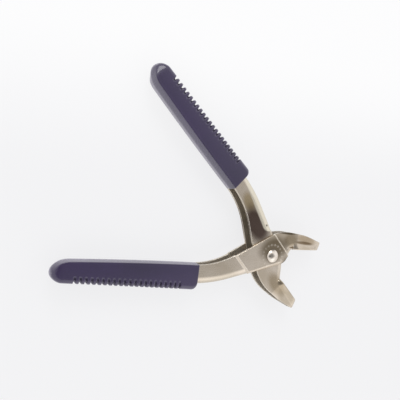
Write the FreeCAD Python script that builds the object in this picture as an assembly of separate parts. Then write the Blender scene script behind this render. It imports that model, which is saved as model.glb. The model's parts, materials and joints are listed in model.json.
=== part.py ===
import FreeCAD, Part
import math
import os

# Snap setter pliers, lying on their side: thickness along Z, jaws towards +X, the handle opening in the XY plane.
# Each lever is drawn in its own frame with the pivot at the origin and its pad level with the X axis, as it is
# when the jaws are shut. Both are then swung open about the pivot to the rest position. All sizes in mm.

# motion
closingAngle = 46.0        # from fully open to pads parallel, both levers together
flangeClearance = 0.13     # each side, inner lever's flanges in the outer lever's box

# pressed sheet
sheet = 1.2
leverWidth = 9.2           # over the flanges
bendRadius = 4.0           # outside of the bends, so the web is nearly half round
joggleRun = 1.0            # how far the flanges take to step out into the box
edgeRoll = 0.9             # rolled edge along the punched-out web
throatRoll = 2.2           # the same edge further round, at the throat
rimRadius = 0.5            # open-side edges of the box

# lever outline, in the shut position: web side from handle end to nose, then back along the open side
handleReach = 114.2        # pivot to the end of the steel
heelX, heelDrop = -39.1, 17.35
heelRadius = 80.0
handleEndWebDrop = 10.9
handleEndEdgeDrop = 5.1
neckEdgeX, neckEdgeDrop = -34.3, 5.8
neckEdgeRadius = 48.0
throatX, throatDrop = 8.9, 5.4          # outer lever; the inner one's throat leans further forward
innerThroatX, innerThroatDrop = 8.2, 5.58
throatRadius = 6.0
padStandoff = 3.8          # half the room that the dies fill between the shut pads
padRootX, innerPadRootX = 14.5, 17.3
padRootRadius = 2.6
noseReach = 37.9
noseRadius = 1.8
noseTopRadius = 2.2
noseEdgeHeight = 8.1
browX, browHeight = 25.0, 12.4
browRadius = 45.0
outerCrest = (4.9, 15.25)
innerCrest = (6.6, 16.05)
crestRadius = 30.0

# jaw, seen square to its pad
padHalfWidth = 5.8
padStartX, padFlareX = 15.6, 18.6
padReach = 35.4            # the nose bulges past the pad, over its rounded end
padNoseRadius = 5.5
flareHeight = 3.5          # from the pad up to the crease in the wall
bowReach = 37.7            # where the walls close above the crease
bowHalfWidth = 2.6
bowRadius = 2.5
wallTaperX = 18.0
padEdgeRadius = 0.7
socketRadius = 3.0         # die socket in each pad
socketX = 30.0

# window: the web is punched out where the two levers cross
windowStartX = -15.8       # middle of the rounded end of the web's bends
webEndRadius = 4.5
webEndLift = 0.7
windowTopY = 4.6           # outer lever: just over the pad, where the web starts again
innerWindowEndX = 6.0      # inner lever: its throat keeps its web
windowTrim = 0.8           # taken off the flange edge along the window
joggleAngle = 42.0         # direction of both joggle lines' normals
joggleFront = 8.5          # pivot to the joggle on the jaw side
joggleRear = 17.5          # pivot to the joggle on the handle side

# pivot
shankRadius = 2.3
pivotClearance = 0.05
headRadius, headHeight = 3.8, 1.9
headRim = 0.35             # straight edge under the dome
tailRadius, tailHeight = 3.3, 1.2
washerRadius, washerThickness = 4.4, 0.8
sleeveWall = 1.45
sleeveEndGap = 0.1

# opening spring, a torsion coil round the sleeve
wireRadius = 0.55
coilRadius = 4.65          # to the wire's centre
coilPitch = 1.2
extraTurns = 2
seatX = -18.0              # where a leg bears on its web
seatLift = 3.35            # wire centre to the web's outside there

# grips
gripMouthX = -45.4
gripReach = 119.9
gripEndSlant = 5.0         # the closed end's ribbed corner stands out past its inner one
gripWidth = 11.2
gripMouthEdgeDrop, gripEndEdgeDrop = 5.1, 3.9
gripMouthBackDrop, gripEndBackDrop = 19.6, 14.9
gripMouthLean, gripMouthLipLean = 1.2, 0.5   # how far the mouth's two corners stand back
gripSwell = 0.75           # inner side bulges by this at the point between mouth and end
gripSwellEnd = 2.0         # straight left between that side's long arc and the tip's
gripTipRadius = 8.8        # closed end, on its inner side
gripHeelRadius = 3.8       # closed end, on its ribbed side
gripDomeRadius = 9.0       # ball that rounds the closed end
gripDomeReach, gripDomeDrop = 122.9, 10.4
gripMouthRadius = 2.8
gripMouthLipRadius = 0.9
gripEdgeRadius = 1.4
gripFit = 0.04
ribCount = 21
ribPitch = 2.71
firstRibX = -110.8
ribDepth = 0.75
ribGrooveRadius = 0.95

openHalf = closingAngle / 2
innerHalf = leverWidth / 2 - sheet                    # half the room between a lever's flanges
boxInnerHalf = leverWidth / 2 + flangeClearance
boxHalf = boxInnerHalf + sheet
origin = FreeCAD.Vector(0, 0, 0)
zAxis = FreeCAD.Vector(0, 0, 1)
big = 400.0


def vec(x, y, z=0.0):
    return FreeCAD.Vector(x, y, z)


def moveEdges(points, shifts):
    """Moves each edge of a closed outline inwards by its shift; edge i runs from point i to the next."""
    count = len(points)
    lines = []
    area = sum(points[i].x * points[(i + 1) % count].y - points[(i + 1) % count].x * points[i].y
               for i in range(count))
    side = 1 if area > 0 else -1
    for i in range(count):
        along = (points[(i + 1) % count] - points[i]).normalize()
        inwards = vec(-along.y, along.x) * side
        lines.append((points[i] + inwards * shifts[i], along))
    moved = []
    for i in range(count):
        (a, u), (b, v) = lines[i - 1], lines[i]
        cross = u.x * v.y - u.y * v.x
        gap = b - a
        moved.append(a + u * ((gap.x * v.y - gap.y * v.x) / cross))
    return moved


def roundedEdges(points, radii):
    """Straight runs and tangent arcs of a closed outline: for each point, its arc or None, then the run ahead."""
    count = len(points)
    starts, ends, arcs = [], [], []
    for i in range(count):
        corner = points[i]
        back = (points[i - 1] - corner).normalize()
        ahead = (points[(i + 1) % count] - corner).normalize()
        half = back.getAngle(ahead) / 2
        reach = radii[i] / math.tan(half)
        starts.append(corner + back * reach)
        ends.append(corner + ahead * reach)
        if radii[i] > 0:
            peak = corner + (back + ahead).normalize() * (radii[i] / math.sin(half) - radii[i])
            arcs.append(Part.Arc(starts[i], peak, ends[i]).toShape())
        else:
            arcs.append(None)
    runs = [Part.LineSegment(ends[i], starts[(i + 1) % count]).toShape() for i in range(count)]
    return arcs, runs


def roundedWire(points, radii):
    arcs, runs = roundedEdges(points, radii)
    edges = []
    for arc, run in zip(arcs, runs):
        edges += [arc, run] if arc else [run]
    return Part.Wire(edges)


def plate(wire, half):
    """Slab of the outline, from -half to +half in Z."""
    face = Part.Face(wire)
    face.translate(vec(0, 0, -half))
    return face.extrude(vec(0, 0, 2 * half))


def midpoint(edge):
    return edge.valueAt((edge.FirstParameter + edge.LastParameter) / 2)


def roundAlong(solid, outlineEdges, half, radius, endRadius=None):
    """Rounds the slab's edges that lie over the given edges of its outline, on both faces."""
    spots = [midpoint(edge) for edge in outlineEdges]
    found = []
    for edge in solid.Edges:
        place = midpoint(edge)
        flat = vec(place.x, place.y)
        if abs(abs(place.z) - half) < 1e-6 and any(flat.distanceToPoint(spot) < 1e-3 for spot in spots):
            found.append(edge)
    if endRadius is None:
        return solid.makeFillet(radius, found)
    return solid.makeFillet(radius, endRadius, found)


def block(xMin, xMax, yMin, yMax, half):
    return Part.makeBox(xMax - xMin, yMax - yMin, 2 * half, vec(xMin, yMin, -half))


# ---- lever outline, side view ----

def webSlope():
    return (heelDrop - throatDrop) / (throatX - heelX)


def leverPoints(isOuter):
    throatCorner = vec(throatX, -throatDrop) if isOuter else vec(innerThroatX, -innerThroatDrop)
    padRoot = vec(padRootX if isOuter else innerPadRootX, padStandoff)
    crest = vec(*(outerCrest if isOuter else innerCrest))
    return [vec(-handleReach, -handleEndWebDrop), vec(heelX, -heelDrop), throatCorner, padRoot,
            vec(noseReach, padStandoff), vec(noseReach, noseEdgeHeight), vec(browX, browHeight), crest,
            vec(neckEdgeX, -neckEdgeDrop), vec(-handleReach, -handleEndEdgeDrop)]


def leverEdges(isOuter, inset=0.0, trim=0.0, roundNose=False):
    """Outline with the web side moved in by `inset`, the open side out by three times that, and the punched
    edge in by `trim`."""
    out = 3 * inset
    shifts = [inset, inset + trim, inset, inset, inset, -out, -out, -out, -out, -out]
    radii = [0, heelRadius - inset, throatRadius - inset, padRootRadius + inset,
             (noseRadius - inset) * roundNose, (noseTopRadius - inset) * roundNose,
             browRadius + out, crestRadius + out, neckEdgeRadius - out, 0]
    return roundedEdges(moveEdges(leverPoints(isOuter), shifts), radii)


def wireOf(arcs, runs):
    edges = []
    for arc, run in zip(arcs, runs):
        edges += [arc, run] if arc else [run]
    return Part.Wire(edges)


def channel(isOuter, inset, half, radius):
    """Solid side-view slab with its web edges rounded, from the handle's end to the root of the jaw."""
    arcs, runs = leverEdges(isOuter, inset)
    slab = plate(wireOf(arcs, runs), half)
    slab = roundAlong(slab, [runs[0], arcs[1], runs[1], arcs[2], runs[2], arcs[3], runs[3]], half, radius)
    return slab.cut(block(wallTaperX - 0.5, big, -big, big, big))


def windowZone(isOuter, half):
    """Where the web is punched out; the bends before it run out in a rounded end."""
    zone = block(windowStartX, padStartX if isOuter else innerWindowEndX, -heelDrop - 10, windowTopY, half)
    endY = webSlope() * (windowStartX - throatX) - throatDrop + webEndLift
    return zone.cut(rod(webEndRadius, -half, half, windowStartX, endY))


# ---- jaw, in the lever's frame: the pad faces -Y ----

def planWire(points, radii, inset, height):
    """Plan outline at a height above the centre line; every edge moves in by `inset`."""
    wire = roundedWire(moveEdges(points, [inset] * len(points)), radii)
    wire.rotate(origin, vec(1, 0, 0), 90)
    wire.translate(vec(0, height, 0))
    return wire


def padWire(inset, height):
    half = leverWidth / 2 - 0.3
    points = [vec(padStartX, -half), vec(padFlareX, -padHalfWidth), vec(padReach, -padHalfWidth),
              vec(padReach, padHalfWidth), vec(padFlareX, padHalfWidth), vec(padStartX, half)]
    corner = padNoseRadius - inset
    return planWire(points, [0, 2.0, corner, corner, 2.0, 0], inset, height)


def bowWire(inset, height):
    half = leverWidth / 2
    points = [vec(padStartX, -half), vec(wallTaperX, -half), vec(bowReach, -bowHalfWidth),
              vec(bowReach, bowHalfWidth), vec(wallTaperX, half), vec(padStartX, half)]
    corner = bowRadius - inset
    return planWire(points, [0, 8.0, corner, corner, 8.0, 0], inset, height)


def jawForm(inset):
    crease = padStandoff + flareHeight
    flare = Part.makeLoft([padWire(inset, padStandoff + inset), bowWire(inset, crease)], True, True)
    wall = Part.Face(bowWire(inset, crease)).extrude(vec(0, 20, 0))
    return flare.fuse(wall)


def jawSkin(isOuter):
    """Outside of the jaw: flared pad, walls that close to a bow, top edge from the side view."""
    form = jawForm(0)
    under = [edge for edge in form.Edges
             if abs(edge.BoundBox.YMax - padStandoff) < 1e-6 and edge.BoundBox.XMin > padStartX + 0.01]
    form = form.makeFillet(padEdgeRadius, under)
    return form.common(plate(wireOf(*leverEdges(isOuter, roundNose=True)), 2 * padHalfWidth))


# ---- levers ----

def flangeSlab(isOuter, half):
    """Flanges by the window, with the punched edge rolled in, more so at the throat."""
    arcs, runs = leverEdges(isOuter, 0, windowTrim)
    slab = plate(wireOf(arcs, runs), half)
    slab = roundAlong(slab, [runs[1]], half, edgeRoll, throatRoll)
    return roundAlong(slab, [runs[7], arcs[7]], half, rimRadius)


def leverSkin(isOuter):
    """Outside of a lever with plain flanges all the way."""
    zone = windowZone(isOuter, big)
    bent = channel(isOuter, 0, leverWidth / 2, bendRadius).cut(zone)
    flat = flangeSlab(isOuter, leverWidth / 2).common(zone)
    return bent.fuse([flat, jawSkin(isOuter)])


def leverHollow(isOuter):
    """Inside of the channel and the jaw, open along the open side and through the window."""
    bent = channel(isOuter, sheet, innerHalf, bendRadius - sheet)
    jaw = jawForm(sheet).common(plate(wireOf(*leverEdges(isOuter, sheet, roundNose=True)), 2 * padHalfWidth))
    return bent.fuse([windowZone(isOuter, innerHalf), jaw])


def boxBetween(outerHalf):
    """Block between the joggle lines, bevelled from outerHalf down to the plain flanges."""
    step = boxHalf - leverWidth / 2
    ends = [(-joggleRear - joggleRun, outerHalf - step), (-joggleRear, outerHalf),
            (joggleFront, outerHalf), (joggleFront + joggleRun, outerHalf - step)]
    corners = [vec(x, -big / 2, z) for x, z in ends] + [vec(x, -big / 2, -z) for x, z in reversed(ends)]
    solid = Part.Face(Part.makePolygon(corners + corners[:1])).extrude(vec(0, big, 0))
    solid.rotate(origin, zAxis, joggleAngle)
    return solid


def boxSkin():
    return flangeSlab(True, boxHalf).common(boxBetween(boxHalf))


def boxHollow():
    room = plate(wireOf(*leverEdges(True, sheet)), boxInnerHalf).fuse(windowZone(True, boxInnerHalf))
    return room.common(boxBetween(boxInnerHalf))


def rod(radius, zLow, zHigh, x=0.0, y=0.0):
    return Part.makeCylinder(radius, zHigh - zLow, vec(x, y, zLow))


def socketHole():
    return Part.makeCylinder(socketRadius, 4 * sheet, vec(socketX, padStandoff - sheet, 0), vec(0, 1, 0))


def lever(isOuter):
    skin, hollow = leverSkin(isOuter), leverHollow(isOuter)
    if isOuter:
        skin, hollow = skin.fuse(boxSkin()), hollow.fuse(boxHollow())
    pivotHole = rod(shankRadius + pivotClearance, -big, big)
    return skin.cut([hollow, pivotHole, socketHole()]).removeSplitter()


# ---- pivot ----

def dome(radius, height, rim):
    """Rivet head on the XY plane: a short straight rim and a spherical cap."""
    rise = height - rim
    ball = (radius ** 2 + rise ** 2) / (2 * rise)
    cap = Part.makeSphere(ball, vec(0, 0, height - ball)).common(rod(radius, rim, height + 1))
    return rod(radius, 0, rim).fuse(cap).removeSplitter()


def pivotRivet():
    head = dome(headRadius, headHeight, headRim)
    head.translate(vec(0, 0, boxHalf))
    tail = dome(tailRadius, tailHeight, headRim)
    tail.rotate(origin, vec(1, 0, 0), 180)
    tailZ = -boxHalf - washerThickness
    tail.translate(vec(0, 0, tailZ))
    return rod(shankRadius, tailZ, boxHalf).fuse([head, tail]).removeSplitter()


def tailWasher():
    ring = rod(washerRadius, -boxHalf - washerThickness, -boxHalf)
    return ring.cut(rod(shankRadius + pivotClearance, -big, big))


def spacerSleeve():
    half = innerHalf - sleeveEndGap
    tube = rod(shankRadius + pivotClearance + sleeveWall, -half, half)
    return tube.cut(rod(shankRadius + pivotClearance, -big, big))


def openingSpring():
    """Coil on the Z axis with a straight leg into each channel, drawn in the rest position."""
    seat = springSeat()
    reach = math.hypot(seat.x, seat.y)
    legLength = math.sqrt(reach ** 2 - coilRadius ** 2)
    seatAngle = math.atan2(seat.y, seat.x)
    coilEnd = seatAngle - math.atan(legLength / coilRadius)
    turns = extraTurns + coilEnd / math.pi
    slope = coilPitch / (2 * math.pi * coilRadius)
    height = coilPitch * turns
    helix = Part.makeHelix(coilPitch, height, coilRadius)
    helix.translate(vec(0, 0, -height / 2))
    helix.rotate(origin, zAxis, math.degrees(-coilEnd))

    def leg(angle, z, sign):
        foot = vec(coilRadius * math.cos(angle), coilRadius * math.sin(angle), z)
        along = vec(-math.sin(angle), math.cos(angle), slope) * sign
        return foot, foot + along * legLength

    lowFoot, lowSeat = leg(-coilEnd, -height / 2, -1)
    highFoot, highSeat = leg(coilEnd, height / 2, 1)
    path = Part.Wire([Part.LineSegment(lowSeat, lowFoot).toShape()] + helix.Edges
                     + [Part.LineSegment(highFoot, highSeat).toShape()])
    section = Part.Wire(Part.makeCircle(wireRadius, lowSeat, (lowFoot - lowSeat).normalize()))
    return path.makePipeShell([section], True, True)


def springSeat():
    """Where the upper leg bears on the inner lever's web, in the rest position."""
    webX = seatX
    webY = -throatDrop + webSlope() * (webX - throatX)
    tilt = math.atan(webSlope())
    spot = vec(webX - seatLift * math.sin(tilt), webY + seatLift * math.cos(tilt))
    return toRest(Part.Vertex(spot), False).Point


# ---- grips ----

def grip():
    """Plastic sleeve on a handle, with the channel's outside as its bore and ribs on its back."""
    lip = vec(gripMouthX - gripMouthLipLean, -gripMouthEdgeDrop)
    tip = vec(-gripReach, -gripEndEdgeDrop)
    swell = (lip + tip) * 0.5 + vec(0, gripSwell)
    halfSide = (lip - tip).Length / 2
    swellRadius = (halfSide - gripTipRadius - gripSwellEnd) * halfSide / gripSwell
    backEnd = vec(-gripReach - gripEndSlant, -gripEndBackDrop)
    backStart = vec(gripMouthX - gripMouthLean, -gripMouthBackDrop)
    radii = [gripMouthLipRadius, swellRadius, gripTipRadius, gripHeelRadius, gripMouthRadius]
    arcs, runs = roundedEdges([lip, swell, tip, backEnd, backStart], radii)
    half = gripWidth / 2
    body = plate(wireOf(arcs, runs), half)
    body = roundAlong(body, arcs + runs, half, gripEdgeRadius)
    middle = vec(-gripDomeReach + gripDomeRadius, -gripDomeDrop)
    ball = Part.makeSphere(gripDomeRadius, middle)
    body = body.common(block(middle.x, big, -big, big, big).fuse(ball))
    slope = (backEnd.y - backStart.y) / (backEnd.x - backStart.x)
    for index in range(ribCount):
        x = firstRibX + index * ribPitch
        y = backStart.y + slope * (x - backStart.x) - ribGrooveRadius + ribDepth
        body = body.cut(rod(ribGrooveRadius, -half, half, x, y))
    arcs, runs = leverEdges(True)
    bore = plate(wireOf(arcs, runs), leverWidth / 2)
    bore = roundAlong(bore, [runs[0], arcs[1]], leverWidth / 2, bendRadius)
    bore = bore.makeOffsetShape(gripFit, 1e-4, join=2)
    return body.cut(bore)


# ---- placing ----

def toRest(shape, isOuter):
    """Swings a lever's piece from the shut position to rest; the inner lever is the mirror image."""
    placed = shape.copy()
    if not isOuter:
        placed = placed.mirror(origin, vec(0, 1, 0))
    placed.rotate(origin, zAxis, openHalf if isOuter else -openHalf)
    return placed


def pieces():
    return {
        "outer_lever": toRest(lever(True), True),
        "inner_lever": toRest(lever(False), False),
        "lower_grip": toRest(grip(), True),
        "upper_grip": toRest(grip(), False),
        "pivot_rivet": pivotRivet(),
        "rivet_washer": tailWasher(),
        "spacer_sleeve": spacerSleeve(),
        "opening_spring": openingSpring(),
    }


def main():
    made = pieces()
    whole = Part.makeCompound(list(made.values())).BoundBox
    base = vec(-whole.Center.x, -whole.Center.y, -whole.ZMin)
    print("pivot at", [round(value, 3) for value in base])
    os.makedirs("parts", exist_ok=True)
    for name, shape in made.items():
        shape.translate(base)
        print(name, shape.isValid(), len(shape.Solids), round(shape.Volume, 1))
        shape.exportStep("parts/" + name + ".step")


main()
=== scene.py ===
import bpy
import bmesh
import json
import math
from mathutils import Matrix, Vector


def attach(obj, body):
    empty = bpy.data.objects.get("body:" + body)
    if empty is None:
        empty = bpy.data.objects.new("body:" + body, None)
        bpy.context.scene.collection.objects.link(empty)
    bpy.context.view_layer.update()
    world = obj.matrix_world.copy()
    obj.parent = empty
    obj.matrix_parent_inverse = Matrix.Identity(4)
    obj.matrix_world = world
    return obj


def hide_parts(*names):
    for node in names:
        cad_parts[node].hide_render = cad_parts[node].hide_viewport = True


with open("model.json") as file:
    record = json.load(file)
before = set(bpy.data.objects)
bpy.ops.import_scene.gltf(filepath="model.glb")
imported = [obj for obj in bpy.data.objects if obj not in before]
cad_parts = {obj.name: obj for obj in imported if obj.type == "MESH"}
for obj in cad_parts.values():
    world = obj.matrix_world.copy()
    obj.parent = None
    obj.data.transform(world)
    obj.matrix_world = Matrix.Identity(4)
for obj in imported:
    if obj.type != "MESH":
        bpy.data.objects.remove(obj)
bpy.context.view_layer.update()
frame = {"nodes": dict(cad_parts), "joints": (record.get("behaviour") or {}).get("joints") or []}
print("frame loaded:", len(frame["nodes"]), "nodes")

# Dictionaries are in millimetres and degrees, the scene is in metres.
mm = 0.001
weldReach = 1e-7    # points closer than this, in metres, become one
sharpAngle = 50     # edges steeper than this stay crisp
hinge = frame["joints"][0]
pivotPlace = Vector(hinge["pos_m"])
openHalf = math.radians(hinge["range_deg"][1] / 2)    # each lever's swing from shut to rest


def smooth(low, high, value):
    t = min(1.0, max(0.0, (value - low) / (high - low)))
    return t * t * (3 - 2 * t)


def mixed(a, b, t):
    return a + (b - a) * t


# from a shut lever to where it lies at rest; the inner side mirrors the outer one
def opened(x, y, z, isOuter):
    side = 1 if isOuter else -1
    angle, y = side * openHalf, side * y
    swung = Vector((x * math.cos(angle) - y * math.sin(angle), x * math.sin(angle) + y * math.cos(angle), z))
    return pivotPlace + swung * mm


def newObject(name, vertices, faces):
    mesh = bpy.data.meshes.new(name)
    mesh.from_pydata([tuple(v) for v in vertices], [], faces)
    piece = bpy.data.objects.new(name, mesh)
    bpy.context.scene.collection.objects.link(piece)
    work = bmesh.new()
    work.from_mesh(mesh)
    bmesh.ops.remove_doubles(work, verts=work.verts, dist=weldReach)
    bmesh.ops.recalc_face_normals(work, faces=work.faces)
    work.to_mesh(mesh)
    work.free()
    mesh.polygons.foreach_set("use_smooth", [True] * len(mesh.polygons))
    return piece


# faces between rings of equally many points, with a cap at each end
def tubeFaces(rings, count):
    faces = []
    for r in range(rings - 1):
        for i in range(count):
            j = (i + 1) % count
            faces.append((r * count + i, r * count + j, (r + 1) * count + j, (r + 1) * count + i))
    faces.append(tuple(range(count)))
    faces.append(tuple(range((rings - 1) * count, rings * count)))
    return faces


# Grips: soft plastic sleeves moulded on, ribbed along the back. They are drawn on the shut lever,
# with X towards the jaws, Y towards the other handle and Z through the thickness.
grip = {
    "mouthX": -45.9, "tipX": -122.2,
    "innerAtMouth": -5.1, "innerAtTip": -3.9, "innerBow": 0.42,      # side that faces the other handle
    "backAtMouth": -19.6, "backAtTip": -15.0,                        # ribbed side
    "half": 5.6, "sideCrown": 0.75, "crease": 0.3, "faceCrown": 0.08, "backRadius": 2.6,
    "thinBelow": 4.6,                                                # thinner sections are rounded less
    "innerTip": (9.6, 6.5), "backTip": (5.6, 4.5),                   # closed end's corners: along, across
    "dome": (6.4, 2.3), "tipLean": 0.8,                              # how the faces fall away at that end
    "tipCrown": 1.1, "tipCrease": 1.5, "tipRoundness": 0.4, "tipEase": 6.0,
    "mouthRadius": 2.8, "mouthEdge": 0.45, "mouthLean": 0.7, "mouthEase": 14.0,
    "leastHalf": 0.25, "leastAcross": 0.02,                          # size of the very last ring
    "ribs": 21, "ribPitch": 2.71, "firstRib": -110.8, "ribDepth": 1.7, "ribFlat": 0.1, "ribOpen": 0.88,
    "ribShare": 0.6, "ribFadeAt": 0.82, "ribFullAt": 0.6,            # how a cut runs out towards the faces
    "tipSteps": 34, "stepsPerRib": 16, "plainSteps": 8, "mouthSteps": 14,
}
# steps round half a cross-section, from its inner side to its back; sleeve and bore share them
section = {"side": 8, "crease": 3, "face": 19, "corner": 12, "back": 6}
# room for the channel of the handle inside a sleeve
bore = {"half": 4.64, "edgeAtMouth": -5.66, "edgeAtEnd": -5.06, "webAtMouth": -16.6, "webAtEnd": -10.94,
        "endX": -114.3, "bend": 3.9, "ringsIn": (4.0, 30.0)}


def gripSection(a, b, ease):
    rise = min(1.0, a / grip["thinBelow"])
    crown = min(mixed(grip["sideCrown"], grip["tipCrown"], ease), 0.4 * a)
    crease = min(mixed(grip["crease"], grip["tipCrease"], ease), 0.5 * a)
    radius = min(grip["backRadius"] * rise, 0.9 * a, 0.9 * b)
    faceCrown = grip["faceCrown"] * rise
    top = b - crease
    # each point: across, through, outward direction, share of a rib's depth
    steps = section["side"]
    upper = [(a - crown * (i / steps) ** 1.25, top * i / steps, 1.0, 0.0, 0.0) for i in range(steps + 1)]
    side = upper[-1][0]
    for i in range(1, section["crease"] + 1):
        turn = math.pi / 2 * i / section["crease"]
        upper.append((side - crease * (1 - math.cos(turn)), top + crease * math.sin(turn), 0.0, 1.0, 0.0))
    start, end = upper[-1][0], -a + radius
    for i in range(1, section["face"]):
        t = 1 - (1 - i / section["face"]) ** 1.4    # closer together towards the ribs
        share = grip["ribShare"] * smooth(grip["ribFadeAt"], 1.0, t)
        upper.append((mixed(start, end, t), b + faceCrown * (4 * t * (1 - t) - 1), 0.0, 1.0, share))
    b -= faceCrown
    for i in range(section["corner"] + 1):
        turn = math.pi / 2 * i / section["corner"]
        share = mixed(grip["ribShare"], 1.0, smooth(0.0, grip["ribFullAt"], i / section["corner"]))
        upper.append((end - radius * math.sin(turn), b - radius * (1 - math.cos(turn)),
                      -math.sin(turn), math.cos(turn), share))
    steps = section["back"]
    upper += [(-a, (b - radius) * (1 - i / steps), -1.0, 0.0, 1.0) for i in range(1, steps + 1)]
    roundness = grip["tipRoundness"] * ease ** 2
    ring = []
    for p, q, dp, dq, share in upper + [(p, -q, dp, -dq, share) for p, q, dp, dq, share in upper[-2:0:-1]]:
        turn = math.atan2(q / b, p / a)
        ring.append((mixed(p, a * math.cos(turn), roundness), mixed(q, b * math.sin(turn), roundness),
                     dp * share, dq * share))
    return ring


def ribCut(x):
    index = min(grip["ribs"] - 1, max(0, round((x - grip["firstRib"]) / grip["ribPitch"])))
    away = abs(x - grip["firstRib"] - index * grip["ribPitch"])
    return 1 - smooth(grip["ribFlat"], grip["ribOpen"], away)


def gripStations():
    ribStart = grip["firstRib"] - grip["ribPitch"] / 2
    ribEnd = ribStart + grip["ribs"] * grip["ribPitch"]
    flatEnd = grip["mouthX"] - grip["mouthRadius"]
    tipTurns = [math.pi / 2 * i / grip["tipSteps"] for i in range(grip["tipSteps"] + 1)]
    tip = [grip["tipX"] + grip["innerTip"][0] * (1 - math.cos(turn)) for turn in tipTurns]
    stations = [x for x in tip if x < ribStart - 0.05]
    steps = grip["stepsPerRib"] * grip["ribs"]
    stations += [mixed(ribStart, ribEnd, i / steps) for i in range(steps + 1)]
    steps = grip["plainSteps"]
    stations += [mixed(ribEnd, flatEnd, i / steps) for i in range(1, steps)]
    mouthTurns = [math.pi / 2 * i / grip["mouthSteps"] for i in range(grip["mouthSteps"] + 1)]
    return stations + [flatEnd + grip["mouthRadius"] * math.sin(turn) for turn in mouthTurns]


def cornerCut(along, across, distance):
    away = min(1.0, max(0.0, 1 - distance / along))
    return across * (1 - math.sqrt(1 - away ** 2))


def gripRing(x):
    t = (x - grip["mouthX"]) / (grip["tipX"] - grip["mouthX"])
    fromTip, fromMouth = x - grip["tipX"], grip["mouthX"] - x
    lip, corner = grip["mouthEdge"], grip["mouthRadius"]
    inner = mixed(grip["innerAtMouth"], grip["innerAtTip"], t) + grip["innerBow"] * 4 * t * (1 - t)
    inner -= cornerCut(*grip["innerTip"], fromTip) + cornerCut(lip, lip * 0.4, fromMouth)
    back = mixed(grip["backAtMouth"], grip["backAtTip"], t)
    back += cornerCut(*grip["backTip"], fromTip) + cornerCut(corner, corner, fromMouth)
    half = grip["half"] - cornerCut(*grip["dome"], fromTip)
    half = max(grip["leastHalf"], half - cornerCut(lip, lip, fromMouth))
    a = max(grip["leastAcross"], (inner - back) / 2)
    nearTip = 1 - smooth(0.0, grip["tipEase"], fromTip)
    nearMouth = 1 - smooth(0.0, grip["mouthEase"], fromMouth)
    depth = ribCut(x)
    cut = grip["ribDepth"] * depth
    ring, grooves = [], []
    for p, q, dp, dq in gripSection(a, half, nearTip):
        lean = grip["mouthLean"] * (a - p) / (2 * a) * nearMouth
        lean -= grip["tipLean"] * (q / half) ** 2 * nearTip
        ring.append((x - lean, (inner + back) / 2 + p - dp * cut, q - dq * cut))
        grooves.append(math.hypot(dp, dq) * depth)
    return ring, grooves


def boreRing(x, leanShare):
    t = (x - grip["mouthX"]) / (bore["endX"] - grip["mouthX"])
    edge = mixed(bore["edgeAtMouth"], bore["edgeAtEnd"], t)
    web = mixed(bore["webAtMouth"], bore["webAtEnd"], t)
    a, b, bend = (edge - web) / 2, bore["half"], bore["bend"]
    steps = section["side"] + section["crease"]
    upper = [(a, b * i / steps) for i in range(steps + 1)]
    upper += [(mixed(a, bend - a, i / section["face"]), b) for i in range(1, section["face"])]
    for i in range(section["corner"] + 1):
        turn = math.pi / 2 * i / section["corner"]
        upper.append((bend - a - bend * math.sin(turn), b - bend * (1 - math.cos(turn))))
    steps = section["back"]
    upper += [(-a, (b - bend) * (1 - i / steps)) for i in range(1, steps + 1)]
    return [(x - grip["mouthLean"] * (a - p) / (2 * a) * leanShare, (edge + web) / 2 + p, q)
            for p, q in upper + [(p, -q) for p, q in upper[-2:0:-1]]]


def buildGrip(name, isOuter):
    shaped = [gripRing(x) for x in gripStations()]
    rings, grooves = [ring for ring, _ in shaped], [depth for _, ring in shaped for depth in ring]
    rings.append(boreRing(grip["mouthX"], 1.0))
    inside = [grip["mouthX"] - depth for depth in bore["ringsIn"]] + [bore["endX"]]
    rings += [boreRing(x, 0.0) for x in inside]
    vertices = [opened(*point, isOuter) for ring in rings for point in ring]
    piece = newObject(name, vertices, tubeFaces(len(rings), len(rings[0])))
    grooved = piece.data.attributes.new("groove", "FLOAT", "POINT")
    grooved.data.foreach_set("value", grooves + [0.0] * (len(vertices) - len(grooves)))
    piece.data.set_sharp_from_angle(angle=math.radians(sharpAngle))
    return piece


# Turned pieces: a cold headed rivet with a low dome in front, its other end set over a washer.
rivet = {"headRadius": 3.8, "headHeight": 1.9, "rim": 0.35, "shank": 2.3, "tailRadius": 3.3,
         "tailHeight": 1.2, "boxHalf": 5.93, "softening": 0.14, "domeSteps": 16}
washer = {"radius": 4.4, "hole": 2.35, "thickness": 0.8, "softening": 0.16}
lathe = {"steps": 96, "softSteps": 3, "softAbove": 35}    # edges steeper than softAbove are rounded


def domeProfile(radius, height, base, isUp):
    rise = height - rivet["rim"]
    ball = (radius ** 2 + rise ** 2) / (2 * rise)
    reach = math.asin(radius / ball)
    side = 1 if isUp else -1
    points = []
    for i in range(rivet["domeSteps"] + 1):
        turn = reach * i / rivet["domeSteps"]
        points.append((ball * math.sin(turn), base + side * (height - ball + ball * math.cos(turn))))
    return points + [(radius, base)]


def turnedPiece(name, profile, isClosed, softening):
    steps, count = lathe["steps"], len(profile)
    vertices, faces = [], []
    for s in range(steps):
        turn = 2 * math.pi * s / steps
        vertices += [pivotPlace + Vector((r * math.cos(turn), r * math.sin(turn), z)) * mm
                     for r, z in profile]
        after = (s + 1) % steps
        for i in range(count if isClosed else count - 1):
            j = (i + 1) % count
            faces.append((s * count + i, after * count + i, after * count + j, s * count + j))
    piece = newObject(name, vertices, faces)
    soften = piece.modifiers.new("soft_edges", "BEVEL")
    soften.width = softening * mm
    soften.segments = lathe["softSteps"]
    soften.limit_method = "ANGLE"
    soften.angle_limit = math.radians(lathe["softAbove"])
    return piece


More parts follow.
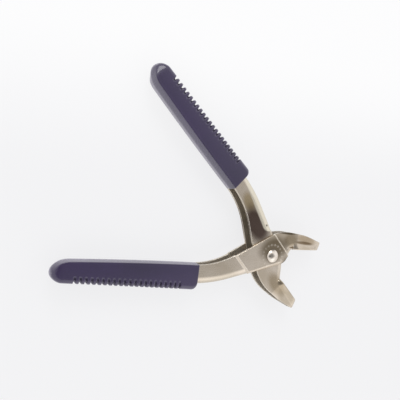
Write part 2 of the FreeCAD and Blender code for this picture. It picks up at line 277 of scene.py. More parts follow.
def buildRivet(name):
    low = -rivet["boxHalf"] - washer["thickness"]
    head = domeProfile(rivet["headRadius"], rivet["headHeight"], rivet["boxHalf"], True)
    tail = domeProfile(rivet["tailRadius"], rivet["tailHeight"], low, False)
    profile = head + [(rivet["shank"], rivet["boxHalf"]), (rivet["shank"], low)] + tail[::-1]
    return turnedPiece(name, profile, False, rivet["softening"])


def buildWasher(name):
    top, low = -rivet["boxHalf"], -rivet["boxHalf"] - washer["thickness"]
    hole, rim = washer["hole"], washer["radius"]
    profile = [(hole, top), (rim, top), (rim, low), (hole, low)]
    return turnedPiece(name, profile, True, washer["softening"])


# Opening spring, wound in two halves so that each leg follows its own lever. Their turns overlap round the
# coil, where the low half's wire is a hair thinner, so that no two surfaces share one place.
spring = {"wire": 0.52, "thinner": 0.01, "coil": 4.65, "pitch": 1.2, "turns": 2, "seat": (-13.858, 15.492),
          "overlap": 46.0, "stepsPerTurn": 72, "legSteps": 12, "sides": 20}


def springPath(isLow):
    seat = Vector(spring["seat"])
    legLength = math.sqrt(seat.length ** 2 - spring["coil"] ** 2)
    coilEnd = math.atan2(seat.y, seat.x) - math.atan(legLength / spring["coil"])
    sweep = 2 * math.pi * spring["turns"] + 2 * coilEnd
    climb = spring["pitch"] / (2 * math.pi)
    rise = climb / spring["coil"]
    side = -1 if isLow else 1
    foot = Vector((spring["coil"] * math.cos(coilEnd), side * spring["coil"] * math.sin(coilEnd),
                   side * climb * sweep / 2))
    along = Vector((-math.sin(coilEnd), side * math.cos(coilEnd), side * rise))
    leg = [foot + along * legLength * (1 - i / spring["legSteps"]) for i in range(spring["legSteps"])]
    last = sweep / 2 + (math.radians(spring["overlap"]) if isLow else 0.0)
    steps = round(last / (2 * math.pi) * spring["stepsPerTurn"])
    coil = []
    for i in range(steps + 1):
        wound = last * i / steps
        angle = side * (coilEnd - wound)
        coil.append(Vector((spring["coil"] * math.cos(angle), spring["coil"] * math.sin(angle),
                            side * climb * (sweep / 2 - wound))))
    return leg + coil


def buildSpring(name, isLow):
    path, sides = springPath(isLow), spring["sides"]
    radius = spring["wire"] - (spring["thinner"] if isLow else 0.0)
    vertices = []
    for i, place in enumerate(path):
        ahead = (path[min(i + 1, len(path) - 1)] - path[max(i - 1, 0)]).normalized()
        over = (Vector((0, 0, 1)) - ahead * ahead.z).normalized()
        across = ahead.cross(over)
        for s in range(sides):
            turn = 2 * math.pi * s / sides
            outwards = across * math.cos(turn) + over * math.sin(turn)
            vertices.append(pivotPlace + (place + outwards * radius) * mm)
    piece = newObject(name, vertices, tubeFaces(len(path), sides))
    piece.data.set_sharp_from_angle(angle=math.radians(sharpAngle))
    return piece


def srgb(code):
    parts = [int(code[i:i + 2], 16) / 255 for i in (1, 3, 5)]
    return tuple([c / 12.92 if c <= 0.04045 else ((c + 0.055) / 1.055) ** 2.4 for c in parts] + [1.0])


# Inputs go by name, or by number where a node repeats its names: Map Range has 1 and 2 for the range it
# reads and 3 and 4 for the one it gives, and a colour Mix has 0 for the share and 6 and 7 for the colours.
def addNode(tree, kind, inputs=None, **settings):
    node = tree.nodes.new("ShaderNode" + kind)
    for name, value in settings.items():
        setattr(node, name, value)
    for name, value in (inputs or {}).items():
        if isinstance(value, bpy.types.NodeSocket):
            tree.links.new(value, node.inputs[name])
        else:
            node.inputs[name].default_value = value
    return node


def newMaterial(name):
    made = bpy.data.materials.new(name)
    made.use_nodes = True
    made.node_tree.nodes.clear()
    return made, made.node_tree


def finishMaterial(tree, inputs):
    shader = addNode(tree, "BsdfPrincipled", inputs)
    addNode(tree, "OutputMaterial", {"Surface": shader.outputs[0]})


# Bright nickel plate over tumbled mild steel sheet: a warm, slightly clouded mirror, softer where the
# buffing wheel didn't reach, with fine marks from the press along the piece. The real grain and marks
# are under 0.1 mm and are drawn coarser, so that they show.
plate = {
    "bright": "#DCD0BF", "clouded": "#C6B9A5", "inside": "#D0C8BA", "edge": "#F6EEDF",
    "pit": "#4A443E", "headShadeTint": "#6F675C",
    "cloudSize": 14.0, "cloudRange": (0.35, 0.68), "grainSize": 0.5,
    "scratchWidth": 0.25, "scratchRun": 0.06,               # width in millimetres, runs per millimetre
    "roughness": 0.22, "cloudRough": 0.16, "lineRough": 0.10, "insideRough": 0.22,
    "bump": 0.12, "bumpDepth": 0.02, "lineBump": 0.6, "pitBump": -6.0, "ringBump": 7.0,
    "edgeRadius": 0.34, "edgeGlintAndWearRange": (0.995, 0.86),          # by the cosine between both normals
    "rimX": (-15.0, -9.0), "rimMore": 0.4,                  # the handles' rims are rounder
    "jawX": (12.6, 19.0), "jawRadius": 0.7, "jawGlintAndWear": 0.25,
    "insideDepth": (-0.3, -2.4),                            # the normal's Z times Z off the middle plane
    "stepLean": 42.0, "stepAt": 9.0, "stepHalf": 0.75,      # line where the box steps down to the jaw
    "ringRadius": 6.5, "ringWidth": 0.5, "ringHeight": 0.35, "ringPale": 0.5, "ringUneven": (0.4, 0.6),
    "ticks": 18, "tickWidth": (0.2, 0.08), "tickReach": (0.75, 0.5),
    "boxFaces": (5.6, 5.85), "headShadeRadius": (5.2, 4.0), "headShadeDepth": 0.55,
}
# painted highlight where the web turns into the flanges: round end, slope, half width, how softly it fades,
# tint
bendHighlights = {
    "outer": {"end": (-25.0, -13.6), "slope": 14.0, "half": 4.0, "soft": 2.6, "tint": "#D0C5B3"},
    "inner": {"end": (-15.8, -10.85), "slope": 14.0, "half": 4.7, "soft": 0.5, "tint": "#E4DCC8"},
}
# tints, each an ellipse on the lever: middle, half sizes, turn, tint; the marked ones are painted shade or a
# painted reflection, the others darken or tint the plate
stainsAndShade = {
    "outer": (
        {"at": (1.0, 5.0), "reach": (13.0, 9.5), "turn": 20, "tint": "#A19B8F"},
        {"at": (10.5, -4.0), "reach": (7.5, 4.4), "turn": 55, "tint": "#A09D97"},      # painted shade at the throat, where the flange turns away
        {"at": (-7.0, 11.4), "reach": (10.0, 1.2), "turn": 17, "tint": "#8F8A80"},     # painted shade under the box's top rim
        {"at": (8.5, 13.9), "reach": (12.0, 1.4), "turn": -5, "tint": "#8A857A"},      # painted shade under the jaw's top
        {"at": (13.0, 9.6), "reach": (7.5, 5.5), "turn": 0, "tint": "#C9C3B7"},
        {"at": (23.5, 7.9), "reach": (9.0, 1.3), "turn": -5, "tint": "#A69B8C"},       # painted shade along the crease
        {"at": (25.0, 10.0), "reach": (10.0, 3.2), "turn": -12, "tint": "#D2CABD"},
    ),
    "inner": (
        {"at": (-21.5, -4.0), "reach": (16.0, 9.5), "turn": 14, "tint": "#726868"},    # painted reflection of something dark, on the neck
        {"at": (-34.0, -8.0), "reach": (8.0, 5.0), "turn": 14, "tint": "#DCD4BE"},
        {"at": (16.0, 8.0), "reach": (11.0, 6.0), "turn": 0, "tint": "#D3CDC1"},
        {"at": (28.0, 8.0), "reach": (9.0, 6.0), "turn": 0, "tint": "#DAD8D2"},
    ),
}
stainAndShadeEdge = {"wander": 0.5, "fade": (1.25, 0.65)}    # clouds make the outline wander
pits = {"inner": ({"at": (-15.9, -8.8), "radius": 0.45},), "outer": ()}


def platedSteel(name, isOuter):
    made, tree = newMaterial(name)
    side, flip = ("outer", 1) if isOuter else ("inner", -1)
    # millimetres from the pivot on the shut lever, with the inner one mirrored onto the outer
    place = addNode(tree, "TexCoord").outputs["Object"]
    turn = Matrix.Rotation(-openHalf, 3, "Z") @ Matrix.Diagonal((1, flip, 1))
    shift = -(turn @ pivotPlace) / mm
    lever = addNode(tree, "Mapping", {"Vector": place, "Scale": (1 / mm, flip / mm, 1 / mm),
                                      "Rotation": (0, 0, -openHalf), "Location": shift}).outputs[0]
    parts = addNode(tree, "SeparateXYZ", {0: lever}).outputs
    flat = addNode(tree, "CombineXYZ", {0: parts[0], 1: parts[1]}).outputs[0]
    cloud = addNode(tree, "TexNoise", {"Vector": lever, "Scale": 1 / plate["cloudSize"],
                                       "Detail": 3.0}).outputs[0]
    grain = addNode(tree, "TexNoise", {"Vector": lever, "Scale": 1 / plate["grainSize"],
                                       "Detail": 2.0}).outputs[0]
    fine = 1 / plate["scratchWidth"]
    drawn = addNode(tree, "Mapping", {"Vector": lever,
                                      "Scale": (plate["scratchRun"], fine, fine)}).outputs[0]
    lines = addNode(tree, "TexNoise", {"Vector": drawn, "Scale": 1.0, "Detail": 3.0}).outputs[0]

    # painted highlight along the edges, which partly stands for buffing wear: where the rounded normal leaves
    # the face's own; the jaw's creases are softer
    low, high = plate["jawX"]
    soft = addNode(tree, "MapRange", {"Value": parts[0], 1: low, 2: high, 3: plate["edgeRadius"] * mm,
                                      4: plate["jawRadius"] * mm}).outputs[0]
    rim = addNode(tree, "MapRange", {"Value": parts[0], 1: plate["rimX"][0], 2: plate["rimX"][1],
                                     3: plate["rimMore"] * mm, 4: 0.0}).outputs[0]
    soft = addNode(tree, "Math", {0: soft, 1: rim}, operation="ADD").outputs[0]
    rounded = addNode(tree, "Bevel", {"Radius": soft}, samples=6).outputs[0]
    facing = addNode(tree, "NewGeometry").outputs["Normal"]
    along = addNode(tree, "VectorMath", {0: rounded, 1: facing}, operation="DOT_PRODUCT").outputs["Value"]
    edgeGlintAndWear = addNode(tree, "MapRange", {"Value": along, 1: plate["edgeGlintAndWearRange"][0],
                                      2: plate["edgeGlintAndWearRange"][1]}).outputs[0]
    jawGlintShare = addNode(tree, "MapRange", {"Value": parts[0], 1: low, 2: high, 3: 1.0,
                                       4: plate["jawGlintAndWear"]}).outputs[0]
    edgeGlintAndWear = addNode(tree, "Math", {0: edgeGlintAndWear, 1: jawGlintShare}, operation="MULTIPLY").outputs[0]

    # inner faces of the flanges look towards the middle plane
    own = addNode(tree, "SeparateXYZ", {0: addNode(tree, "TexCoord").outputs["Normal"]}).outputs
    towards = addNode(tree, "Math", {0: own[2], 1: parts[2]}, operation="MULTIPLY").outputs[0]
    inside = addNode(tree, "MapRange", {"Value": towards, 1: plate["insideDepth"][0],
                                        2: plate["insideDepth"][1]}).outputs[0]

    # painted highlight where the web turns into the flanges, paler than the flats beside it; lengthways only
    # the way past its end counts
    bend = bendHighlights[side]
    run = addNode(tree, "Mapping", {"Vector": flat, "Location": (*bend["end"], 0),
                                    "Rotation": (0, 0, math.radians(bend["slope"]))},
                  vector_type="TEXTURE").outputs[0]
    run = addNode(tree, "VectorMath", {0: run, 1: (0, -100, -100)}, operation="MAXIMUM").outputs[0]
    run = addNode(tree, "VectorMath", {0: run}, operation="LENGTH").outputs["Value"]
    bendHighlight = addNode(tree, "MapRange", {"Value": run, 1: bend["half"] + bend["soft"],
                                      2: bend["half"] - bend["soft"]},
                   interpolation_type="SMOOTHSTEP").outputs[0]

    tone = addNode(tree, "MapRange", {"Value": cloud, 1: plate["cloudRange"][0],
                                      2: plate["cloudRange"][1]}).outputs[0]
    colour = addNode(tree, "Mix", {0: tone, 6: srgb(plate["bright"]), 7: srgb(plate["clouded"])},
                     data_type="RGBA").outputs[2]
    # each ellipse multiplies in its tint; the marked ones are painted shade or a painted reflection
    for stain in stainsAndShade[side]:
        near = addNode(tree, "Mapping", {"Vector": flat, "Location": (*stain["at"], 0),
                                         "Scale": (*stain["reach"], 1),
                                         "Rotation": (0, 0, math.radians(stain["turn"]))},
                       vector_type="TEXTURE").outputs[0]
        near = addNode(tree, "VectorMath", {0: near}, operation="LENGTH").outputs["Value"]
        near = addNode(tree, "Math", {0: cloud, 1: stainAndShadeEdge["wander"], 2: near},
                       operation="MULTIPLY_ADD").outputs[0]
        near = addNode(tree, "MapRange", {"Value": near, 1: stainAndShadeEdge["fade"][0], 2: stainAndShadeEdge["fade"][1]},
                       interpolation_type="SMOOTHSTEP").outputs[0]
        colour = addNode(tree, "Mix", {0: near, 6: colour, 7: srgb(stain["tint"])}, data_type="RGBA",
                         blend_type="MULTIPLY").outputs[2]
    # painted highlights on the bend and along the edges, the edges' partly standing for buffing wear; then
    # the inner faces' tone
    for share, tint in ((bendHighlight, bend["tint"]), (inside, plate["inside"]), (edgeGlintAndWear, plate["edge"])):
        colour = addNode(tree, "Mix", {0: share, 6: colour, 7: srgb(tint)}, data_type="RGBA").outputs[2]

    rough = addNode(tree, "Math", {0: cloud, 1: plate["cloudRough"],
                                   2: plate["roughness"] - plate["cloudRough"] / 2},
                    operation="MULTIPLY_ADD").outputs[0]
    for share, more in ((lines, plate["lineRough"]), (inside, plate["insideRough"])):
        rough = addNode(tree, "Math", {0: share, 1: more, 2: rough}, operation="MULTIPLY_ADD").outputs[0]
    height = addNode(tree, "Math", {0: lines, 1: plate["lineBump"], 2: grain},
                     operation="MULTIPLY_ADD").outputs[0]
    for pit in pits[side]:
        away = addNode(tree, "VectorMath", {0: flat, 1: (*pit["at"], 0)},
                       operation="DISTANCE").outputs["Value"]
        deep = addNode(tree, "MapRange", {"Value": away, 1: pit["radius"] * 1.5,
                                          2: pit["radius"]}).outputs[0]
        colour = addNode(tree, "Mix", {0: deep, 6: colour, 7: srgb(plate["pit"])},
                         data_type="RGBA").outputs[2]
        height = addNode(tree, "Math", {0: deep, 1: plate["pitBump"], 2: height},
                         operation="MULTIPLY_ADD").outputs[0]
    if isOuter:
        # painted highlight along the line where the box drops down to the jaw
        lean = math.radians(plate["stepLean"])
        stepHighlight = addNode(tree, "VectorMath", {0: flat, 1: (math.cos(lean), math.sin(lean), 0)},
                       operation="DOT_PRODUCT").outputs["Value"]
        stepHighlight = addNode(tree, "Math", {0: stepHighlight, 1: plate["stepAt"]}, operation="SUBTRACT").outputs[0]
        stepHighlight = addNode(tree, "Math", {0: stepHighlight}, operation="ABSOLUTE").outputs[0]
        stepHighlight = addNode(tree, "MapRange", {"Value": stepHighlight, 1: plate["stepHalf"],
                                          2: plate["stepHalf"] * 0.7}).outputs[0]
        colour = addNode(tree, "Mix", {0: stepHighlight, 6: colour, 7: srgb(plate["edge"])},
                         data_type="RGBA").outputs[2]

        # generic raised ring with ticks across it, pressed round the rivet on the box's faces
        away = addNode(tree, "VectorMath", {0: flat}, operation="LENGTH").outputs["Value"]
        band = addNode(tree, "Math", {0: away, 1: plate["ringRadius"]}, operation="SUBTRACT").outputs[0]
        band = addNode(tree, "Math", {0: band}, operation="ABSOLUTE").outputs[0]
        ring = addNode(tree, "MapRange", {"Value": band, 1: plate["ringWidth"], 2: 0.0},
                       interpolation_type="SMOOTHSTEP").outputs[0]
        around = addNode(tree, "Math", {0: parts[1], 1: parts[0]}, operation="ARCTAN2").outputs[0]
        around = addNode(tree, "Math", {0: around, 1: plate["ticks"] / (2 * math.pi)},
                         operation="MULTIPLY").outputs[0]
        around = addNode(tree, "Math", {0: around, 1: 0.5}, operation="PINGPONG").outputs[0]
        around = addNode(tree, "MapRange", {"Value": around, 1: plate["tickWidth"][0],
                                            2: plate["tickWidth"][1]}).outputs[0]
        across = addNode(tree, "MapRange", {"Value": band, 1: plate["tickReach"][0],
                                            2: plate["tickReach"][1]}).outputs[0]
        tick = addNode(tree, "Math", {0: across, 1: around}, operation="MULTIPLY").outputs[0]
        raised = addNode(tree, "Math", {0: ring, 1: plate["ringHeight"], 2: tick},
                         operation="MULTIPLY_ADD").outputs[0]
        depth = addNode(tree, "Math", {0: parts[2]}, operation="ABSOLUTE").outputs[0]
        depth = addNode(tree, "MapRange", {"Value": depth, 1: plate["boxFaces"][0],
                                           2: plate["boxFaces"][1]}).outputs[0]
        uneven = addNode(tree, "MapRange", {"Value": cloud, 1: plate["ringUneven"][0],
                                            2: plate["ringUneven"][1], 3: 0.4, 4: 1.0}).outputs[0]
        depth = addNode(tree, "Math", {0: depth, 1: uneven}, operation="MULTIPLY").outputs[0]
        raised = addNode(tree, "Math", {0: raised, 1: depth}, operation="MULTIPLY").outputs[0]
        pale = addNode(tree, "Math", {0: raised, 1: plate["ringPale"]}, operation="MULTIPLY").outputs[0]
        colour = addNode(tree, "Mix", {0: pale, 6: colour, 7: srgb(plate["edge"])},
                         data_type="RGBA").outputs[2]
        height = addNode(tree, "Math", {0: raised, 1: plate["ringBump"], 2: height},
                         operation="MULTIPLY_ADD").outputs[0]

        # painted shade in a ring round the head, as under its edge
        headShade = addNode(tree, "MapRange", {"Value": away, 1: plate["headShadeRadius"][0],
                                             2: plate["headShadeRadius"][1],
                                             3: 0.0, 4: plate["headShadeDepth"]}).outputs[0]
        headShade = addNode(tree, "Math", {0: headShade, 1: depth}, operation="MULTIPLY").outputs[0]
        colour = addNode(tree, "Mix", {0: headShade, 6: colour, 7: srgb(plate["headShadeTint"])},
                         data_type="RGBA").outputs[2]
    bump = addNode(tree, "Bump", {"Height": height, "Normal": rounded, "Strength": plate["bump"],
                                  "Distance": plate["bumpDepth"] * mm}).outputs[0]
    finishMaterial(tree, {"Base Color": colour, "Metallic": 1.0, "Roughness": rough, "Normal": bump})
    return made


# Zinc plated, cold headed steel, burnished by the setting tool: brighter than the levers, with faint rings.
rivetFinish = {"bright": "#F1E8DB", "dull": "#DAD0C1", "roughness": 0.17, "ringSpacing": 0.45}
# Drawn and tempered spring wire with a thin dark oxide: brown-grey, with lines along the wire.
wireFinish = {"bright": "#8D867C", "dull": "#4F4A45", "roughness": 0.34, "ringSpacing": 0.3}
# Sawn and turned tube, oiled: fine grooves round it from the cutter.
tubeFinish = {"bright": "#A9A49A", "dull": "#77716A", "roughness": 0.38, "ringSpacing": 0.35}
# What those three share. Noise scales are per millimetre. Real tool marks lie about 0.1 mm apart and are
# drawn coarser above, so that they show.
turning = {"wobbleScale": 0.6, "wobble": 0.5, "grainScale": 3.0, "grainRough": 0.2, "stainScale": 0.3,
           "stainRange": (0.4, 0.7), "ringBump": 0.3, "bump": 0.15, "bumpDepth": 0.02}


def turnedSteel(name, look, isAlongAxis):
    made, tree = newMaterial(name)
    place = addNode(tree, "TexCoord").outputs["Object"]
    own = addNode(tree, "Mapping", {"Vector": place, "Scale": (1 / mm,) * 3,
                                    "Location": -pivotPlace / mm}).outputs[0]
    parts = addNode(tree, "SeparateXYZ", {0: own}).outputs
    flat = addNode(tree, "CombineXYZ", {0: parts[0], 1: parts[1]}).outputs[0]
    away = addNode(tree, "VectorMath", {0: flat}, operation="LENGTH").outputs["Value"]
    reach = parts[2] if isAlongAxis else away
    wobble = addNode(tree, "TexNoise", {"Vector": own, "Scale": turning["wobbleScale"],
                                        "Detail": 2.0}).outputs[0]
    reach = addNode(tree, "Math", {0: wobble, 1: turning["wobble"], 2: reach},
                    operation="MULTIPLY_ADD").outputs[0]
    rings = addNode(tree, "Math", {0: reach, 1: 2 * math.pi / look["ringSpacing"]},
                    operation="MULTIPLY").outputs[0]
    rings = addNode(tree, "Math", {0: rings}, operation="SINE").outputs[0]
    grain = addNode(tree, "TexNoise", {"Vector": own, "Scale": turning["grainScale"],
                                       "Detail": 3.0}).outputs[0]
    stain = addNode(tree, "TexNoise", {"Vector": own, "Scale": turning["stainScale"],
                                       "Detail": 3.0}).outputs[0]
    tone = addNode(tree, "MapRange", {"Value": stain, 1: turning["stainRange"][0],
                                      2: turning["stainRange"][1]}).outputs[0]
    colour = addNode(tree, "Mix", {0: tone, 6: srgb(look["bright"]), 7: srgb(look["dull"])},
                     data_type="RGBA").outputs[2]
    rough = addNode(tree, "Math", {0: grain, 1: turning["grainRough"],
                                   2: look["roughness"] - turning["grainRough"] / 2},
                    operation="MULTIPLY_ADD").outputs[0]
    height = addNode(tree, "Math", {0: rings, 1: turning["ringBump"], 2: grain},
                     operation="MULTIPLY_ADD").outputs[0]
    bump = addNode(tree, "Bump", {"Height": height, "Strength": turning["bump"],
                                  "Distance": turning["bumpDepth"] * mm}).outputs[0]
    finishMaterial(tree, {"Base Color": colour, "Metallic": 1.0, "Roughness": rough, "Normal": bump})
    return made


# Soft PVC moulded over the handles: dark violet with a fine spark-eroded grain. A thin glossy skin and a
# pale bloom lie on its faces, paler specks show where it is rubbed, and the grooves between ribs are dull,
# with painted shade in them.
# The real grain is about 0.1 mm and is drawn coarser, so that it shows.
vinyl = {
    "violet": "#2F2049", "deep": "#25193D", "rubbed": "#554A6B", "groove": "#231C31",
    "cloudSize": 22.0, "cloudRange": (0.35, 0.68), "grainSize": 0.35,
    "speckScale": 1.1, "speckRange": (0.62, 0.8), "speckShare": 0.35,
    "grooveRange": (0.03, 0.5), "grooveShadeShare": 0.8,
    "roughness": 0.38, "cloudRough": 0.16, "grainRough": 0.08, "grooveRough": 0.4, "glassiness": 1.53,
    "skin": 0.85, "skinInGroove": 0.05, "skinFade": 0.25, "skinRoughness": 0.10, "skinGlassiness": 1.5,
    "bloom": 0.7, "bloomRoughness": 0.4, "bloomTint": "#D9D2E6",
    "bump": 0.25, "bumpDepth": 0.02,
}


def mouldedVinyl(name):
    made, tree = newMaterial(name)
    place = addNode(tree, "TexCoord").outputs["Object"]
    own = addNode(tree, "Mapping", {"Vector": place, "Scale": (1 / mm,) * 3}).outputs[0]
    cloud = addNode(tree, "TexNoise", {"Vector": own, "Scale": 1 / vinyl["cloudSize"],
                                       "Detail": 3.0}).outputs[0]
    grain = addNode(tree, "TexNoise", {"Vector": own, "Scale": 1 / vinyl["grainSize"], "Detail": 2.0,
                                       "Roughness": 0.6}).outputs[0]
    speck = addNode(tree, "TexNoise", {"Vector": own, "Scale": vinyl["speckScale"],
                                       "Detail": 4.0}).outputs[0]
    tone = addNode(tree, "MapRange", {"Value": cloud, 1: vinyl["cloudRange"][0],
                                      2: vinyl["cloudRange"][1]}).outputs[0]
    rubbed = addNode(tree, "MapRange", {"Value": speck, 1: vinyl["speckRange"][0],
                                        2: vinyl["speckRange"][1],
                                        3: 0.0, 4: vinyl["speckShare"]}).outputs[0]
    # painted shade darkens the grooves between the ribs
    groove = addNode(tree, "Attribute", attribute_name="groove").outputs["Fac"]
    grooved = addNode(tree, "MapRange", {"Value": groove, 1: vinyl["grooveRange"][0],
                                         2: vinyl["grooveRange"][1],
                                         3: 0.0, 4: vinyl["grooveShadeShare"]}).outputs[0]
    colour = srgb(vinyl["violet"])
    for share, tint in ((tone, vinyl["deep"]), (rubbed, vinyl["rubbed"]), (grooved, vinyl["groove"])):
        colour = addNode(tree, "Mix", {0: share, 6: colour, 7: srgb(tint)}, data_type="RGBA").outputs[2]

    rough = addNode(tree, "Math", {0: cloud, 1: vinyl["cloudRough"],
                                   2: vinyl["roughness"] - vinyl["cloudRough"] / 2},
                    operation="MULTIPLY_ADD").outputs[0]
    for share, more in ((grain, vinyl["grainRough"]), (grooved, vinyl["grooveRough"])):
        rough = addNode(tree, "Math", {0: share, 1: more, 2: rough}, operation="MULTIPLY_ADD").outputs[0]
    skin = addNode(tree, "MapRange", {"Value": groove, 1: 0.0, 2: vinyl["skinFade"], 3: vinyl["skin"],
                                      4: vinyl["skinInGroove"]}).outputs[0]
    bump = addNode(tree, "Bump", {"Height": grain, "Strength": vinyl["bump"],
                                  "Distance": vinyl["bumpDepth"] * mm}).outputs[0]
    finishMaterial(tree, {"Base Color": colour, "Roughness": rough, "IOR": vinyl["glassiness"],
                          "Normal": bump, "Coat Weight": skin, "Coat Roughness": vinyl["skinRoughness"],
                          "Coat IOR": vinyl["skinGlassiness"], "Sheen Weight": vinyl["bloom"],
                          "Sheen Roughness": vinyl["bloomRoughness"], "Sheen Tint": srgb(vinyl["bloomTint"])})
    return made


def setMaterial(piece, made):
    if not piece.material_slots:
        piece.data.materials.append(made)
    for place in piece.material_slots:
        place.material = made


headedSteel = turnedSteel("cold_headed_steel", rivetFinish, False)
springSteel = turnedSteel("tempered_wire", wireFinish, True)
setMaterial(frame["nodes"]["outer_lever"], platedSteel("nickel_plate_outer", True))
setMaterial(frame["nodes"]["inner_lever"], platedSteel("nickel_plate_inner", False))
setMaterial(frame["nodes"]["spacer_sleeve"], turnedSteel("turned_tube", tubeFinish, True))
print("steels ready")

for name, node, body, isOuter in (("lower_grip_sleeve", "lower_grip", "outer_side", True),
                                  ("upper_grip_sleeve", "upper_grip", "inner_side", False)):
    piece = buildGrip(name, isOuter)
    setMaterial(piece, mouldedVinyl(name + "_vinyl"))
    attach(piece, body)
    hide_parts(node)
print("grips moulded")

for name, node, build in (("set_rivet", "pivot_rivet", buildRivet),
                          ("set_washer", "rivet_washer", buildWasher)):
    piece = build(name)
    setMaterial(piece, headedSteel)
    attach(piece, "outer_side")
    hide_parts(node)
print("rivet set")

for name, body, isLow in (("lower_spring_half", "outer_side", True),
                          ("upper_spring_half", "inner_side", False)):
    piece = buildSpring(name, isLow)
    setMaterial(piece, springSteel)
    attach(piece, body)
    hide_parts("opening_spring")
print("spring wound")

# The studio is in metres, apart from the camera's place and aim. The paper's fibres are drawn coarse.
studio = {
    "floor": "#F4F4F6", "floorReach": 3.0, "floorRoughness": 0.6, "fibresPerMetre": 900.0, "fibreBump": 0.03,
    # the paper shows nearly white, with painted light making it whitest on the far side, and keeps part of
    # the object's shadow
    "paperLit": 0.85, "paperWhite": "#F5F5F6", "paperFar": "#FFFFFF",
    "farDirection": (-0.43, 0.90, 0), "farRange": (0.02, 0.105),
    "air": "#FBFBFF", "zenith": 0.28, "horizon": 1.0, "fromHeight": 0.74, "toHeight": 0.99,
    # cards that the bright steel mirrors: direction, how far they reach in degrees, level
    "cards": (
        {"toCard": (1.0, 0.08, 0.02), "inner": 10, "outer": 26, "level": 0.95},      # past the jaws
        {"toCard": (-0.05, 1.0, 0.05), "inner": 14, "outer": 34, "level": 0.30},     # past the upper handle
        {"toCard": (0.55, 0.17, 0.82), "inner": 2, "outer": 12, "level": 0.70},      # over the pivot
        {"toCard": (-0.36, -0.30, 0.88), "inner": 7, "outer": 19, "level": 0.22},    # where the viewer stands
        {"toCard": (0.62, -0.35, 0.70), "inner": 4, "outer": 30, "level": 1.25},     # over the lower jaw
    ),
    "lamps": (
        {"name": "window", "toLamp": (-0.40, 0.63, 0.62), "distance": 0.8, "size": 0.32, "power": 1.4},
        {"name": "fill", "toLamp": (0.62, -0.60, 0.45), "distance": 0.8, "size": 0.6, "power": 0.2},
    ),
    "camera": (-109.24, -31.45, 230.08), "aim": (-0.53, -1.87, 7.93), "roll": 101.43, "lens": 40.362,
    "shiftX": -0.0325, "shiftY": 0.0725, "clip": (0.01, 20.0),
}


def buildFloor():
    reach = studio["floorReach"]
    corners = [(-reach, -reach, 0), (reach, -reach, 0), (reach, reach, 0), (-reach, reach, 0)]
    floor = newObject("studio_floor", corners, [(0, 1, 2, 3)])
    made, tree = newMaterial("studio_paper")
    place = addNode(tree, "TexCoord").outputs["Object"]
    fibre = addNode(tree, "TexNoise", {"Vector": place, "Scale": studio["fibresPerMetre"],
                                       "Detail": 3.0}).outputs[0]
    bump = addNode(tree, "Bump", {"Height": fibre, "Strength": studio["fibreBump"],
                                  "Distance": 0.1 * mm}).outputs[0]
    paper = addNode(tree, "BsdfPrincipled", {"Base Color": srgb(studio["floor"]), "Normal": bump,
                                             "Roughness": studio["floorRoughness"]}).outputs[0]
    # painted light: the paper is whiter towards the far side
    away = addNode(tree, "VectorMath", {0: place, 1: studio["farDirection"]},
                   operation="DOT_PRODUCT").outputs["Value"]
    away = addNode(tree, "MapRange", {"Value": away, 1: studio["farRange"][0], 2: studio["farRange"][1]},
                   interpolation_type="SMOOTHSTEP").outputs[0]
    white = addNode(tree, "Mix", {0: away, 6: srgb(studio["paperWhite"]), 7: srgb(studio["paperFar"])},
                    data_type="RGBA").outputs[2]
    lit = addNode(tree, "Emission", {"Color": white, "Strength": 1.0}).outputs[0]
    seen = addNode(tree, "LightPath").outputs
    looked = seen["Is Camera Ray"]
    for kind in ("Is Glossy Ray", "Is Transmission Ray"):
        looked = addNode(tree, "Math", {0: looked, 1: seen[kind]}, operation="MAXIMUM").outputs[0]
    share = addNode(tree, "Math", {0: looked, 1: studio["paperLit"]}, operation="MULTIPLY").outputs[0]
    both = addNode(tree, "MixShader", {0: share, 1: paper, 2: lit}).outputs[0]
    addNode(tree, "OutputMaterial", {"Surface": both})
    setMaterial(floor, made)


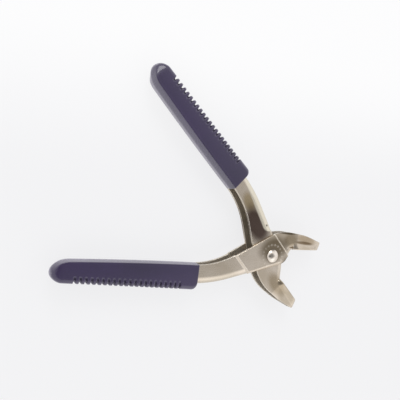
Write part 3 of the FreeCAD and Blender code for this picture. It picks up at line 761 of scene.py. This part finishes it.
def buildWorld():
    world = bpy.data.worlds.new("studio_air")
    bpy.context.scene.world = world
    world.use_nodes = True
    tree = world.node_tree
    tree.nodes.clear()
    direction = addNode(tree, "TexCoord").outputs["Generated"]
    height = addNode(tree, "SeparateXYZ", {0: direction}).outputs[2]
    level = addNode(tree, "MapRange", {"Value": height, 1: studio["fromHeight"], 2: studio["toHeight"],
                                       3: studio["horizon"], 4: studio["zenith"]},
                    interpolation_type="SMOOTHSTEP").outputs[0]
    for card in studio["cards"]:
        towards = addNode(tree, "VectorMath", {0: direction, 1: Vector(card["toCard"]).normalized()},
                          operation="DOT_PRODUCT").outputs["Value"]
        share = addNode(tree, "MapRange", {"Value": towards, 1: math.cos(math.radians(card["outer"])),
                                           2: math.cos(math.radians(card["inner"])),
                                           3: 1.0, 4: card["level"]},
                        interpolation_type="SMOOTHSTEP").outputs[0]
        level = addNode(tree, "Math", {0: level, 1: share}, operation="MULTIPLY").outputs[0]
    # past the floor's edge the air itself is plain white
    looked = addNode(tree, "LightPath").outputs["Is Camera Ray"]
    level = addNode(tree, "Mix", {0: looked, 2: level, 3: 1.0}).outputs[0]
    air = addNode(tree, "Background", {"Color": srgb(studio["air"]), "Strength": level}).outputs[0]
    addNode(tree, "OutputWorld", {"Surface": air})


def buildLamps():
    for look in studio["lamps"]:
        light = bpy.data.lights.new(look["name"], "AREA")
        light.shape = "SQUARE"
        light.size = look["size"]
        light.energy = look["power"]
        lamp = bpy.data.objects.new(look["name"], light)
        towards = Vector(look["toLamp"]).normalized()
        lamp.location = towards * look["distance"]
        lamp.rotation_mode = "QUATERNION"
        lamp.rotation_quaternion = towards.to_track_quat("Z", "Y")
        bpy.context.scene.collection.objects.link(lamp)


def buildCamera():
    data = bpy.data.cameras.new("camera")
    data.lens = studio["lens"]
    data.shift_x, data.shift_y = studio["shiftX"], studio["shiftY"]
    data.clip_start, data.clip_end = studio["clip"]
    camera = bpy.data.objects.new("camera", data)
    place, aim = Vector(studio["camera"]) * mm, Vector(studio["aim"]) * mm
    back = (place - aim).normalized()
    level = Vector((0, 0, 1)).cross(back).normalized()
    roll = math.radians(studio["roll"])
    right = level * math.cos(roll) + back.cross(level) * math.sin(roll)
    up = back.cross(right)
    camera.matrix_world = Matrix.Translation(place) @ Matrix((right, up, back)).transposed().to_4x4()
    bpy.context.scene.collection.objects.link(camera)
    bpy.context.scene.camera = camera


buildFloor()
buildWorld()
buildLamps()
buildCamera()
bpy.context.scene.view_settings.view_transform = "Standard"
print("studio ready")
